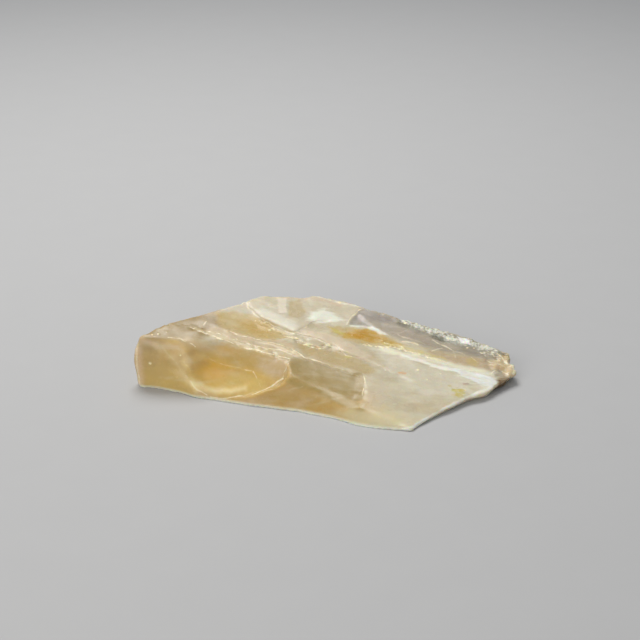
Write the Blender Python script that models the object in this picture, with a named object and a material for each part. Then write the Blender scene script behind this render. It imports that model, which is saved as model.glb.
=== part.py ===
"""Slice of hokkaidoite-bearing opal and chalcedony, lying on its sawn face.

The slice is one piece of stone. Its underside is sawn flat. Its upper side is a natural fracture that
runs down from a thick left and back to a thin front-right edge. Shell-shaped scars bite into its front,
low ledges step across its top, and a lumpy crust follows its back-right edge.
Dimensions are in millimetres. The model is in metres, +Z up, with its origin at the middle of the
underside.
"""

import math

import bmesh
import bpy
from mathutils import Matrix, Vector, noise

MM = 0.001

# --- Outline ------------------------------------------------------------------------------------

# The upper face is a tilted plane: its height over the origin, and its rise per mm of X and of Y.
FACE_HEIGHT = 4.45
FACE_RISE_X = -0.120
FACE_RISE_Y = 0.214

# Stock left under the slice, and the block that stands for what the saw takes off.
STOCK_BELOW = 0.6
SAW_WIDTH = 80.0
SAW_DEPTH = 20.0

# Stations round the slice, from the left tip along the front to the right and back again.
# Each gives the outline of the underside and, above it, the rim of the upper face.
STATIONS = [
    # base x, base y, rim x, rim y
    (-24.9, 0.8, -24.8, 0.2),  # left tip
    (-24.6, -0.3, -24.0, -0.4),
    (-23.6, -1.3, -22.7, -0.6),
    (-20.0, -2.5, -20.4, -0.6),
    (-16.4, -4.0, -17.0, -1.4),
    (-9.2, -6.3, -10.6, -3.0),
    (-3.3, -7.9, -3.6, -5.0),
    (1.1, -9.9, 0.6, -6.8),
    (3.8, -11.8, 3.4, -9.2),
    (6.9, -12.6, 6.6, -11.2),
    (10.6, -12.9, 10.8, -13.2),  # front tip
    (12.7, -10.4, 12.1, -11.7),
    (15.7, -7.2, 15.1, -8.7),
    (19.0, -4.2, 18.5, -5.8),
    (21.0, -3.2, 20.6, -4.9),
    (22.2, -1.2, 22.0, -3.0),
    (23.3, -0.3, 23.2, -1.9),
    (24.5, 1.8, 25.55, 0.9),  # right tip
    (24.4, 4.2, 24.9, 5.2),
    (19.8, 7.0, 19.9, 7.3),
    (11.0, 9.6, 11.1, 9.8),
    (3.0, 12.2, 3.0, 12.4),
    (-1.4, 13.0, -1.4, 13.2),  # back corner
    (-3.3, 12.2, -3.3, 12.5),
    (-8.7, 11.4, -8.7, 11.6),
    (-10.9, 9.7, -10.9, 9.9),
    (-19.0, 4.3, -19.1, 4.4),
]

# --- Scars --------------------------------------------------------------------------------------

# A scar is a rounded mouth with a curved floor. Outside its mouth the cut widens by the flare and leans
# along its length, both in mm per mm, so it also takes off a corner that stands proud of the mouth.
# name: middle of the mouth, outward normal, long direction, length, width, depth, flare, lean
SCARS = {
    "end_scoop": (
        (-22.9, -1.7, 1.6), (-0.28, -0.93, 0.12), (0.62, -0.15, -0.76), 15.5, 8.8, 1.0, 0.8, 0.0,
    ),
    "upper_shell": (
        (-9.9, -2.25, 3.93), (-0.067, -0.61, 0.79), (0.922, -0.339, -0.184), 10.8, 5.8, 0.30, 1.1, -1.0,
    ),
    "lower_bowl": (
        (-12.3, -3.4, 2.52), (-0.13, -0.77, 0.63), (0.95, -0.20, 0.27), 13.0, 5.1, 0.54, 0.4, 0.0,
    ),
    "front_facet": (
        (-0.4, -5.8, 2.95), (0.10, -0.27, 0.955), (0.93, -0.33, -0.16), 10.6, 9.2, 0.08, 0.8, 0.0,
    ),
    "back_dish": (
        (-9.8, 4.5, 6.59), (0.116, -0.208, 0.971), (0.97, -0.20, -0.16), 11.0, 5.2, 0.40, 1.0, 0.0,
    ),
    "notch": (
        (-3.2, 12.8, 7.6), (0.1, 0.7, 0.7), (1.0, 0.1, -0.1), 2.6, 1.6, 0.45, 0.8, 0.0,
    ),
    "tip_bite": (
        (25.1, 3.3, 2.0), (0.95, 0.30, 0.10), (0.1, 0.4, 0.9), 3.2, 1.7, 0.55, 0.8, 0.0,
    ),
    "back_left_flake": (
        (-15.6, 6.5, 3.4), (-0.56, 0.82, 0.10), (0.80, 0.58, 0.12), 9.5, 4.6, 0.55, 0.6, 0.0,
    ),
    "back_right_flake": (
        (6.4, 11.2, 2.6), (0.28, 0.95, 0.05), (0.95, -0.28, -0.12), 12.0, 4.0, 0.55, 0.6, 0.0,
    ),
}
SCAR_ROUNDNESS = 2.2
SCAR_REACH = 6.0
SCAR_SIDES = 72
SCAR_RINGS = 12

# --- Relief on the upper face --------------------------------------------------------------------

# A ledge drops the face on the right-hand side of its line, going from the first point to the last.
# The drop fades away from the line over the given distance.
# name: points in plan, drop, fade
LEDGES = {
    "shell_ledge": (
        [(-12.5, 2.6), (-10.5, 1.9), (-7.1, 1.2), (-5.2, 0.2), (-3.2, -0.9), (-1.5, -1.5),
         (1.0, -2.3), (3.0, -3.2), (4.7, -3.5)],
        0.14, 4.2,
    ),
    "middle_ledge": (
        [(-9.8, 2.1), (-5.6, 2.4), (-4.6, 3.2), (-2.3, 2.1), (1.2, 1.6), (3.2, 0.9)],
        0.12, 1.8,
    ),
    "long_ledge": (
        [(-4.1, 4.4), (-0.5, 3.2), (1.4, 2.3), (2.5, 1.0), (4.8, 0.4), (7.2, -1.0), (10.3, -2.8)],
        0.10, 2.6,
    ),
    "plateau_left": (
        [(-10.8, 9.8), (-10.2, 8.7), (-8.4, 6.5), (-6.3, 5.4), (-4.1, 4.3)],
        0.18, 3.0,
    ),
    "plateau_right": (
        [(-4.1, 4.3), (-2.9, 5.5), (-1.7, 7.0), (0.6, 8.2)],
        0.10, 2.6,
    ),
    "hinge_step": (
        [(6.5, -10.1), (5.5, -8.8), (4.6, -7.9), (4.8, -6.7), (4.7, -5.0), (4.9, -3.2)],
        -0.08, 3.4,
    ),
    "tent_chip": (
        [(3.0, 7.0), (4.3, 9.6), (6.6, 7.0)],
        0.15, 1.6,
    ),
}
LEDGE_SHARPNESS = 0.16
LEDGE_TAPER = 1.6
# Ledges act where the surface faces as the upper face does: none below the first cosine, all above the last.
LEDGE_FACING = (0.80, 0.95)

# Chipped, crumbly rims along some lines: points in plan, half-width, depth.
CHIPPED_LINES = [
    ([(-18.1, 3.2), (-15.7, 1.9), (-13.3, 1.1), (-10.6, 0.4), (-7.9, -0.5), (-4.6, -2.0)], 0.9, 0.20),
    ([(-22.5, -0.4), (-20.6, 0.1), (-17.0, -1.3)], 0.6, 0.14),
    ([(-6.0, 3.4), (-2.3, 2.3), (1.2, 1.7)], 1.0, 0.18),
]
CHIP_SIZE = 0.7
# Noise from none to a full chip, and the share of the half-width over which chips fade out.
CHIP_RANGE = (0.0, 0.45)
CHIP_FADE = (0.3, 1.0)

# The crust follows the back-right edge: its line, width, and how far its lumps stand up.
CRUST_LINE = [(8.5, 10.2), (11.1, 9.4), (15.5, 8.1), (19.9, 6.7), (24.3, 4.9)]
CRUST_WIDTH = 1.5
CRUST_HEIGHT = 0.24
CRUST_LUMP = 0.8
CRUST_FADE = (0.55, 1.0)

# A lump is a dome this wide in lump sizes, and the part of its height that lies under the face.
LUMP_SPAN = 0.78
LUMP_SUNK = 0.4

# The right tip is uneven all round.
TIP_CENTRE = (24.0, 2.6)
TIP_RADIUS = 4.0
TIP_HEIGHT = 0.42
TIP_LUMP = 1.1
TIP_FADE = (0.5, 1.0)

# The left tip bulges between its rim and its foot: middle, radius, height.
BULGE_CENTRE = (-24.9, 0.5, 3.8)
BULGE_RADIUS = 2.4
BULGE_HEIGHT = 0.45

# Broad unevenness of a natural fracture.
WAVE_HEIGHT = 0.16
WAVE_LENGTH = 6.0
WAVE_ROUGHNESS = 0.9
WAVE_STEP = 2.1
WAVE_OCTAVES = 3

# A curved ripple low in the bowl, round a point high above its middle. It fades out upwards between
# the two heights, and stays inside the bowl.
RIPPLE_CENTRE = (-13.4, -2.4, 8.0)
RIPPLE_RADIUS = 7.2
RIPPLE_WIDTH = 0.42
RIPPLE_HEIGHT = 0.12
RIPPLE_TOP = (1.5, 2.6)
BOWL_LEFT, BOWL_RIGHT = -18.5, -4.5
BOWL_BACK = 0.5
BOWL_LOW, BOWL_HIGH = 0.4, 4.6

# --- Mesh ---------------------------------------------------------------------------------------

VOXEL = 0.27
TRIANGLE_TARGET = 8600

STONE_COLOUR = (0.62, 0.50, 0.33, 1.0)
STONE_ROUGHNESS = 0.34


def face_height(x, y):
    """Height of the tilted upper face over a point of the plan."""
    return FACE_HEIGHT + FACE_RISE_X * x + FACE_RISE_Y * y


def smooth_step(low, high, value):
    """Ease from 0 at low to 1 at high."""
    t = min(max((value - low) / (high - low), 0.0), 1.0)
    return t * t * (3.0 - 2.0 * t)


def clear_scene():
    for old in list(bpy.data.objects):
        bpy.data.objects.remove(old)


def object_from(name, builder):
    mesh = bpy.data.meshes.new(name)
    builder.to_mesh(mesh)
    builder.free()
    made = bpy.data.objects.new(name, mesh)
    bpy.context.scene.collection.objects.link(made)
    return made


def apply_modifier(target, modifier):
    bpy.context.view_layer.objects.active = target
    bpy.ops.object.modifier_apply(modifier=modifier.name)


def cut(target, cutter):
    """Take the cutter's volume off the target, and remove the cutter."""
    boolean = target.modifiers.new(cutter.name, "BOOLEAN")
    boolean.operation = "DIFFERENCE"
    boolean.solver = "EXACT"
    boolean.object = cutter
    apply_modifier(target, boolean)
    bpy.data.objects.remove(cutter)


def blank():
    """The slice before any scar: underside and rim joined by steep walls."""
    builder = bmesh.new()
    stock = [builder.verts.new(Vector((bx, by, -STOCK_BELOW)) * MM) for bx, by, _, _ in STATIONS]
    base = [builder.verts.new(Vector((bx, by, 0)) * MM) for bx, by, _, _ in STATIONS]
    rim = [
        builder.verts.new(Vector((rx, ry, face_height(rx, ry))) * MM)
        for _, _, rx, ry in STATIONS
    ]
    builder.faces.new(stock)
    builder.faces.new(rim)
    for lower, upper in ((stock, base), (base, rim)):
        for i in range(len(STATIONS)):
            j = (i + 1) % len(STATIONS)
            builder.faces.new((lower[i], lower[j], upper[j], upper[i]))
    bmesh.ops.recalc_face_normals(builder, faces=builder.faces)
    return object_from("slice", builder)


def mouth_ring(builder, place, radius_x, radius_y, height, shift=0.0):
    """A closed ring of points in the shape of a scar's mouth, at a height over the mouth."""
    ring = []
    for side in range(SCAR_SIDES):
        angle = math.tau * side / SCAR_SIDES
        x = math.copysign(abs(math.cos(angle)) ** (2 / SCAR_ROUNDNESS), math.cos(angle))
        y = math.copysign(abs(math.sin(angle)) ** (2 / SCAR_ROUNDNESS), math.sin(angle))
        point = Vector((x * radius_x + shift, y * radius_y, height))
        ring.append(builder.verts.new(place @ point * MM))
    return ring


def scar_cutter(name, middle, normal, along, length, width, depth, flare, lean):
    """A plug with a curved floor of the given depth, which widens and leans outside its mouth."""
    axis_z = Vector(normal).normalized()
    axis_y = axis_z.cross(Vector(along)).normalized()
    axis_x = axis_y.cross(axis_z)
    turn = Matrix((axis_x, axis_y, axis_z)).transposed().to_4x4()
    place = Matrix.Translation(Vector(middle)) @ turn
    builder = bmesh.new()
    pole = builder.verts.new(place @ Vector((0, 0, -depth)) * MM)
    rings = []
    for step in range(1, SCAR_RINGS + 1):
        reach = step / SCAR_RINGS
        height = -depth * (1 - reach * reach)
        rings.append(mouth_ring(builder, place, reach * length / 2, reach * width / 2, height))
    spread = flare * SCAR_REACH
    far_length, far_width = length / 2 + spread, width / 2 + spread
    rings.append(mouth_ring(builder, place, far_length, far_width, SCAR_REACH, lean * SCAR_REACH))
    for side in range(SCAR_SIDES):
        following = (side + 1) % SCAR_SIDES
        builder.faces.new((pole, rings[0][side], rings[0][following]))
        for inner, outer in zip(rings, rings[1:]):
            builder.faces.new((inner[side], outer[side], outer[following], inner[following]))
    builder.faces.new(rings[-1])
    bmesh.ops.recalc_face_normals(builder, faces=builder.faces)
    return object_from(name, builder)


def saw_cutter():
    """A block under the slice, whose top is the saw's plane."""
    builder = bmesh.new()
    size = Matrix.Diagonal((SAW_WIDTH, SAW_WIDTH, SAW_DEPTH, 1 / MM))
    block = Matrix.Translation((0, 0, -SAW_DEPTH / 2 * MM)) @ (size * MM)
    bmesh.ops.create_cube(builder, size=1, matrix=block)
    return object_from("saw", builder)


def line_distance(x, y, points):
    """Signed distance to a line in plan, and how far along it the nearest point lies.

    The distance is positive on the right-hand side, going from the first point to the last.
    """
    nearest = None
    travelled = 0.0
    for (ax, ay), (bx, by) in zip(points, points[1:]):
        ex, ey = bx - ax, by - ay
        span = math.hypot(ex, ey)
        t = min(max(((x - ax) * ex + (y - ay) * ey) / (span * span), 0.0), 1.0)
        dx, dy = x - ax - t * ex, y - ay - t * ey
        distance = math.hypot(dx, dy)
        if nearest is None or distance < nearest[0]:
            side = 1.0 if ex * dy - ey * dx < 0 else -1.0
            nearest = (distance, side, travelled + t * span)
        travelled += span
    distance, side, place = nearest
    return distance * side, place, travelled


def ledge_drop(x, y):
    """How far the ledges lower the upper face at a point of the plan."""
    total = 0.0
    for points, drop, fade in LEDGES.values():
        distance, place, length = line_distance(x, y, points)
        if distance < -LEDGE_SHARPNESS or distance > fade * 2:
            continue
        step = smooth_step(-LEDGE_SHARPNESS, LEDGE_SHARPNESS, distance)
        ends = smooth_step(0, LEDGE_TAPER, min(place, length - place) + LEDGE_TAPER / 2)
        total += drop * step * ends * math.exp(-((distance / fade) ** 2))
    return total


def chip_depth(point):
    """How far small chips bite into the rims that are crumbly."""
    total = 0.0
    for points, half_width, depth in CHIPPED_LINES:
        distance = abs(line_distance(point.x, point.y, points)[0])
        if distance < half_width:
            bite = smooth_step(*CHIP_RANGE, noise.noise(point / CHIP_SIZE))
            total += depth * bite * (1 - smooth_step(*CHIP_FADE, distance / half_width))
    return total


def lumps(point, size):
    """A field of separate rounded lumps: one at a lump's top, and just under zero between lumps."""
    cell = noise.voronoi(point / size)[0][0]
    return 1 - smooth_step(0.0, LUMP_SPAN, cell) - LUMP_SUNK


def waves(point, length):
    """An even mix of broad and fine unevenness, about zero."""
    return noise.fractal(point / length, WAVE_ROUGHNESS, WAVE_STEP, WAVE_OCTAVES)


def crust_height(point):
    """How far the lumps of the crust stand up."""
    reach = abs(line_distance(point.x, point.y, CRUST_LINE)[0]) / CRUST_WIDTH
    if reach > 1:
        return 0.0
    return CRUST_HEIGHT * lumps(point, CRUST_LUMP) * (1 - smooth_step(*CRUST_FADE, reach))


def tip_height(point):
    """The unevenness of the right tip."""
    reach = math.hypot(point.x - TIP_CENTRE[0], point.y - TIP_CENTRE[1]) / TIP_RADIUS
    return TIP_HEIGHT * waves(point, TIP_LUMP) * (1 - smooth_step(*TIP_FADE, reach))


def in_bowl(point):
    """Whether a point lies on the concave front scar."""
    across = BOWL_LEFT < point.x < BOWL_RIGHT
    return across and point.y < BOWL_BACK and BOWL_LOW < point.z < BOWL_HIGH


def ripple_height(point):
    """A curved ripple low in the bowl."""
    if not in_bowl(point):
        return 0.0
    reach = (point - Vector(RIPPLE_CENTRE)).length
    low = 1 - smooth_step(*RIPPLE_TOP, point.z)
    return RIPPLE_HEIGHT * low * math.exp(-(((reach - RIPPLE_RADIUS) / RIPPLE_WIDTH) ** 2))


def bulge_height(point):
    """The rounded bulge on the left tip."""
    reach = (point - Vector(BULGE_CENTRE)).length / BULGE_RADIUS
    return BULGE_HEIGHT * math.exp(-(reach**2))


def relief(point, normal):
    """Height of all the relief over the smooth slice at a point, along its normal."""
    face_normal = Vector((-FACE_RISE_X, -FACE_RISE_Y, 1)).normalized()
    on_top = smooth_step(*LEDGE_FACING, normal.dot(face_normal))
    height = WAVE_HEIGHT * waves(point, WAVE_LENGTH)
    height -= on_top * ledge_drop(point.x, point.y)
    height -= chip_depth(point)
    height += crust_height(point)
    height += tip_height(point)
    height += bulge_height(point)
    height += ripple_height(point)
    return height


def carve_relief(target):
    """Move each vertex along its normal by the relief there."""
    builder = bmesh.new()
    builder.from_mesh(target.data)
    builder.normal_update()
    moves = []
    for vertex in builder.verts:
        point = vertex.co / MM
        above_saw = smooth_step(-STOCK_BELOW, 0.0, point.z)
        moves.append(vertex.normal * relief(point, vertex.normal) * above_saw * MM)
    for vertex, move in zip(builder.verts, moves):
        vertex.co += move
    builder.to_mesh(target.data)
    builder.free()


def even_mesh(target):
    """Replace the cut body's long thin faces with small even ones."""
    remesh = target.modifiers.new("even", "REMESH")
    remesh.mode = "VOXEL"
    remesh.voxel_size = VOXEL * MM
    apply_modifier(target, remesh)


def simplify(target):
    """Keep small triangles only where the surface turns."""
    triangles = sum(len(face.vertices) - 2 for face in target.data.polygons)
    decimate = target.modifiers.new("simplify", "DECIMATE")
    decimate.ratio = TRIANGLE_TARGET / triangles
    decimate.use_collapse_triangulate = True
    apply_modifier(target, decimate)


def stone_material():
    stone = bpy.data.materials.new("milky stone")
    stone.use_nodes = True
    surface = stone.node_tree.nodes["Principled BSDF"]
    surface.inputs["Base Color"].default_value = STONE_COLOUR
    surface.inputs["Roughness"].default_value = STONE_ROUGHNESS
    surface.inputs["Metallic"].default_value = 0.0
    stone.diffuse_color = STONE_COLOUR
    return stone


def main():
    clear_scene()
    stone = blank()
    for name, dimensions in SCARS.items():
        cut(stone, scar_cutter(name, *dimensions))
    even_mesh(stone)
    carve_relief(stone)
    simplify(stone)
    cut(stone, saw_cutter())
    stone.data.materials.clear()
    stone.data.materials.append(stone_material())


main()
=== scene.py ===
import math

import bpy
import numpy as np
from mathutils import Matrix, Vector, noise


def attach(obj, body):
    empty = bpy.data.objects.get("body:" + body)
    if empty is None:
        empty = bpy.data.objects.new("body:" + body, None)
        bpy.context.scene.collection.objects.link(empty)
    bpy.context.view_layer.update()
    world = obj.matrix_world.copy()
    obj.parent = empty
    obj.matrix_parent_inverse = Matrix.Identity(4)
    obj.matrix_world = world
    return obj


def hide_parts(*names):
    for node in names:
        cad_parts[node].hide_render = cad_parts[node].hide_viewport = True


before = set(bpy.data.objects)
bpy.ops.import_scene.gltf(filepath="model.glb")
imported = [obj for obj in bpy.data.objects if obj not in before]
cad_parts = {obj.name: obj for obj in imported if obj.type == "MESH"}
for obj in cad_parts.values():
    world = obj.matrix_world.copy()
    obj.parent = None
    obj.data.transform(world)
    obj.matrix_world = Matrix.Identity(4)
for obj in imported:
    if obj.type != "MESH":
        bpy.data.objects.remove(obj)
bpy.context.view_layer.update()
mm = 0.001

# Places are in mm from the middle of the underside. Colours are linear red, green and blue.
# A pair with no note of its own is a range: where something begins and where it is complete.
stone = {
    "voxel": 0.19,  # size of the skin's squares
    "softening": 3,  # rounds of smoothing all over
    "weld": 0.005,  # corners nearer than this become one
    "rolling": 160,  # rounds of smoothing along the rollovers
    "rollFade": (0.3, 1.6),
    "rollHeight": (0.1, 0.9),
    "rollLeast": 0.01,  # less softness than this is left out
    "layerTurn": -16.9,  # degrees in plan, the way the layers run
    "faceRise": (-0.120, 0.214),  # how the upper face climbs per mm of x and of y
    "faceTurn": (0.75, 0.95),
    "backTurn": (0.25, 0.7),
    "levelTurn": (0.45, 0.75),
    "sawnTurn": (0.95, 0.99),
    "sawnMargin": (0.05, 0.5),  # heights over which the carving sets in
    "sawnKeep": 0.06,  # below this height the skin is held on the sawn face
    "ledgeEdge": 0.06,  # how far a ledge's edge is spread
    "ledgeBite": 0.045,  # extra drop right at a ledge's foot
    "ledgeFade": 0.8,
    "ledgeEnds": (-0.4, 1.1),
    "strandDepth": 0.07,  # flaky strands along the crumbly edges
    "strandSharpness": 2.6,
    "strandMix": (0.7, 0.6, 0.3),  # share of the gaps, share of the crumbs, and the level left as it is
    "crumbRange": (0.0, 0.5),
    "crumblyFade": (0.35, 1.0),
    "lineRange": (-0.3, 0.5),
    "fleckHeight": 0.05,
    "crustDepth": 0.15,
    "crustWidth": 1.05,
    "crustWander": 0.8,
    "crustSquash": 0.6,  # it reaches further down the wall than over the upper face
    "crustFade": (-0.5, 0.6),
    "crustEdge": (-0.35, -0.95),
    "crustEnds": [(11.0, 9.0, 2.0), (22.6, 24.4, 1.2)],  # a range of x, and how far it is drawn in there
    "crustGrains": [(1.0, 2.0, 0.6), (0.48, 7.0, 0.4)],  # size, shift and share
    "grainFade": (0.0, 0.62),
    "grainLevel": 0.45,
    "wallRoughness": 0.05,
    "waveHeight": 0.05,
    "hackleHeight": 0.004,
    "wiggle": 0.20,  # how far lines and borders waver
    "wiggleSize": 1.1,
    "wiggleSeed": 5,  # the same wavering in every run
    "fine": {"crust": 0.5, "crumbly": 0.1, "lines": 0.36, "height": 0.15},  # where the skin is made finer
    "ridgeTurn": (0.12, 0.8),
    "hollowTurn": (0.12, 0.7),
    "footHeight": (0.5, 0.12),
    "footEnd": (22.8, 21.6),  # the painted glow along the lowest edge stops short of the tip
    "offTop": 1.5,  # how far an area keeps off faces that turn away from the upper face
    "farthest": 6.0,  # distances are kept up to this

    "ground": (0.56, 0.475, 0.315),
    "groundPale": (0.64, 0.585, 0.43),
    "wisp": (0.80, 0.75, 0.60),
    # painted highlight laid on outer edges
    "paintedRidgeHighlight": (0.90, 0.82, 0.60),
    # painted glow of light along the lowest edge of the walls
    "footRim": (0.95, 0.90, 0.71),
    "crumbLight": (0.95, 0.84, 0.52),
    "flakeLight": (0.95, 0.86, 0.64),
    "lineLight": (0.95, 0.86, 0.62),
    "lineDark": (0.27, 0.19, 0.105),
    # painted shade laid in inner corners
    "hollowDark": (0.33, 0.235, 0.115),
    "crustWhite": (0.78, 0.78, 0.67),
    "crustDark": (0.34, 0.33, 0.255),
    "crustShade": (0.52, 0.47, 0.36),  # between the grains on the wall
    "bedHoney": (0.50, 0.37, 0.17),
    "bedCream": (0.68, 0.61, 0.45),

    "scatterDepth": 0.0013,  # m, how far light wanders inside
    "scatterColour": (1.0, 0.62, 0.30),
    "scatterShare": 0.62,
    "gloss": 0.30,
    "refraction": 1.46,
    "roughness": {"crust": 0.6, "flakes": 0.16, "sawn": 0.42},
    "bump": {"Distance": 0.000018, "Strength": 0.8},  # distance in m
    "saw": {"Scale": 420.0, "Distortion": 1.5, "Detail": 2.0},
    "skinMix": {"hackle": 0.7, "nick": 0.2, "saw": 0.25},
    "whiteMix": {"grains": 0.40, "patchy": 0.35, "speckled": 0.40, "crustEdge": 0.25},
    "grainyMix": {"nick": 0.35, "grain": 0.65},
    "borderGain": 2.4,  # how strongly noise pushes a border about
    "streakGain": 5.0,
    "fleckRagged": 0.3,
    "grainyFrom": 0.25,  # a marking more broken up than this is broken up by grain
    "dashedFrom": 0.45,  # the same for a line
    "lineFade": (0.4, 1.5),

    # How much of what lies under it each layer of the finish hides.
    "shares": {"backWall": 0.6, "sawn": 0.7, "crust": 0.9, "hollow": 0.15, "foot": 0.78, "crustDull": 0.6,
               "flakeShine": 0.8},

    # How noise is drawn out along the layers. A smaller number draws it out further.
    "drawnOut": {"layers": (0.35, 1.0, 1.0), "streaks": (0.13, 1.0, 1.0), "beds": (0.12, 0.3, 1.0)},

    # Noise that shapes the skin: size, octaves, shift, and how far it is drawn out along the layers.
    "cloudShape": (0.8, 2.1),  # how its finer parts fade, and how much finer each is
    "clouds": {
        "strands": (0.58, 2, 3.1, 7.0),
        "crumbs": (0.42, 2, 9.4, 3.0),
        "lineHeight": (0.9, 2, 13.0, 1.0),
        "crustBorder": (1.6, 3, 5.0, 1.0),
        "backWall": (0.9, 4, 8.0, 1.6),
        "waves": (3.2, 3, 1.0, 2.5),
        "hackle": (0.55, 2, 6.0, 4.0),
    },

    # Noise in the finish: size, detail, roughness, distortion, then the range that it is spread over.
    "noise": {
        "broad": (2.4, 3.0, 0.55, 0.0),
        "fine": (0.55, 4.0, 0.65, 0.0),
        "grain": (1.1, 5.0, 0.68, 0.5),
        "nick": (0.34, 3.0, 0.65, 0.0),
        "streaks": (0.42, 4.0, 0.6, 0.0),
        "softly": (1.5, 2.0, 0.5, 0.0, 0.35, 0.65),
        "depth": (3.4, 4.0, 0.55, 0.3, 0.38, 0.66),
        "wisps": (1.3, 2.5, 0.5, 0.6, 0.50, 0.75, 0.0, 0.15),
        "beds": (1.1, 3.0, 0.55, 0.4, 0.36, 0.64),
        "sawnBands": (1.5, 3.0, 0.5, 0.8, 0.38, 0.62),
        "patchy": (1.2, 3.0, 0.6, 0.0, 0.42, 0.62),
        "speckled": (0.40, 3.0, 0.65, 0.0, 0.40, 0.62),
        "dull": (1.1, 3.0, 0.5, 0.0, 0.3, 0.7, 0.20, 0.34),
        "hackle": (0.45, 3.0, 0.5, 0.0),
    },

    # The other ranges in the finish.
    "ranges": {"grainy": (0.38, 0.60), "white": (0.22, 0.88), "ridge": (0.42, 0.62, 0.0, 0.22),
               "strand": (0.38, 0.66), "strandNick": (0.38, 0.58, 0.25, 0.95), "dashes": (0.42, 0.56),
               "fleck": (0.05, 0.22, 0.85, 0.0)},

    # The stone's back edge, which the crust lies along.
    "backEdge": [(8.5, 10, 5.6), (10.7, 9.3, 5.2), (13.6, 8.3, 4.6), (16.9, 7.1, 3.8), (19.7, 6.1, 3.3),
        (22.8, 5.1, 2.8), (24.5, 4.8, 2.3)],

    # Low steps: the face drops on the right-hand side of each, going from its first point to its last.
    "ledges": [
        [(-12.5, 2.6), (-10.5, 1.9), (-7.1, 1.2), (-5.2, 0.2), (-3.2, -0.9), (-1.5, -1.5), (1, -2.3),
            (3, -3.2), (4.7, -3.5)],
        [(-9.8, 2.1), (-5.6, 2.4), (-4.6, 3.2), (-2.3, 2.1), (1.2, 1.6), (3.2, 0.9)],
        [(-4.1, 4.4), (-0.5, 3.2), (1.4, 2.3), (2.5, 1), (4.8, 0.4), (7.2, -1), (10.3, -2.8)],
        [(-10.8, 9.8), (-10.2, 8.7), (-8.4, 6.5), (-6.3, 5.4), (-4.1, 4.3)],
        [(-4.1, 4.3), (-2.9, 5.5), (-1.7, 7), (0.6, 8.2)],
    ],

    # Where the stone rolls over softly instead of meeting in a crease: half width, strength and points.
    "rollovers": [
        (1.5, 1, (-24.7, 0.1, 7.3), (-22, -0.5, 6.9), (-18.7, -0.3, 6.6), (-15.2, 0.5, 6.3),
            (-11.5, 0.4, 5.8)),
        (0.85, 1, (-4.5, -5.3, 3.4), (-2.3, -6.1, 2.8), (0, -7.1, 2.2), (3, -9.4, 1.5), (5, -8, 2.2)),
        (1.2, 1, (5, -8, 2.2), (7.3, -10.2, 1.5), (8.8, -11.7, 0.9)),
        (0.8, 0.15, (4.7, -3.2, 3.1), (4.8, -5.2, 2.6), (4.9, -7.4, 2.3)),
        (1.1, 1, (-17.7, -1.9, 4.3), (-16, -1.2, 4.7), (-13.5, -1.3, 4)),
    ],

    # Crumbly edges, flaked in strands along the layers: half width, depth and yellowness as shares, points.
    "crumbly": [
        (0.42, 0.75, 0.2, (-16.9, 2.2, 7), (-14.9, 1.5, 6.6), (-12.1, 0.5, 5.9), (-9, -0.3, 5.3),
            (-5.7, -1.2, 4.7)),
        (0.28, 0.7, 0.3, (-15.5, 2.4, 6.7), (-13.4, 1.9, 6.4), (-10.4, 0.8, 5.7), (-7.5, 0.1, 5.2),
            (-4, 0, 4.9)),
        (0.22, 0.85, 0.9, (-12.6, 2.8, 6.6), (-10.9, 2.2, 6.2), (-8.7, 2, 5.7), (-5.9, 1.4, 5.2),
            (-3.7, 0, 4.9)),
        (0.5, 1, 1, (-5.7, 4.2, 5.5), (-4.2, 3.2, 5.4), (-2.6, 2.2, 4.9), (-1, 1.9, 4.6), (0.6, 2.2, 4.7)),
        (0.34, 0.8, 0.9, (-8.7, 6, 6.4), (-7.7, 5.3, 6), (-6.7, 5, 5.8)),
        (0.4, 0.45, 0, (-23.4, 0, 7.2), (-22.2, 0.5, 7.2), (-21.2, 0.6, 7.1)),
        (0.22, 0.35, 0.1, (-24.7, 0.3, 7.4), (-19, 4.3, 7.6), (-10.9, 9.8, 7.8), (-8.7, 11.5, 7.9),
            (-1.4, 13, 7.4)),
        (0.58, 1, 0.9, (4.9, 3.5, 4.6), (6.5, 3.2, 4.3), (8.5, 3.3, 4.1), (10.9, 2.6, 3.8),
            (13.8, 1.8, 3.3), (15.9, 1, 2.8)),
        (0.62, 1, 1, (8.2, 4, 4.4), (9.1, 3.6, 4.1), (10, 3.1, 3.9)),
        (0.5, 0.45, 1, (2.8, 5.2, 5.2), (4.9, 5.4, 5), (6.8, 4.9, 4.7), (8.2, 4.2, 4.4)),
        (0.5, 0.8, 0.2, (20.9, 4.3, 2.7), (22.4, 4.6, 2.7), (23.1, 3.4, 2.3), (24.3, 3.2, 2.2)),
        (0.4, 0.5, 0.5, (16.6, -4.3, 1.6), (17.9, -3.8, 1.6), (19, -4.4, 1.3)),
    ],

    # Fine lines: half width, rise (a groove is negative), light (a dark line is negative), breaks, points.
    "lines": {
        "darkHair": (0.07, -0.03, -0.5, 0.3, (-18.9, 3.3, 7.5), (-17.1, 2.9, 7.2), (-16.1, 2.7, 7),
            (-15.2, 2.6, 6.9)),
        "strandLow": (0.075, 0.06, 1, 0.35, (-17.8, 2.7, 7.2), (-16, 1.8, 6.8), (-13.6, 1.1, 6.2),
            (-10.6, 0.1, 5.6), (-7.3, -0.8, 5), (-4.6, -1.4, 4.6)),
        "strandMid": (0.08, 0.04, 0.85, 0.5, (-16.6, 2.2, 7), (-14.5, 2.3, 6.6), (-11.9, 1.2, 6.1),
            (-9.1, 0.4, 5.5), (-6, 0.3, 5), (-4.4, -0.4, 4.8)),
        "strandUp": (0.08, 0.06, 1, 0.4, (-12.6, 2.8, 6.6), (-10.9, 2.2, 6.2), (-8.7, 2, 5.7),
            (-5.9, 1.4, 5.2), (-4.7, 0.7, 5.1), (-3.7, 0, 4.9), (-2.8, -0.9, 4.6)),
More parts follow.
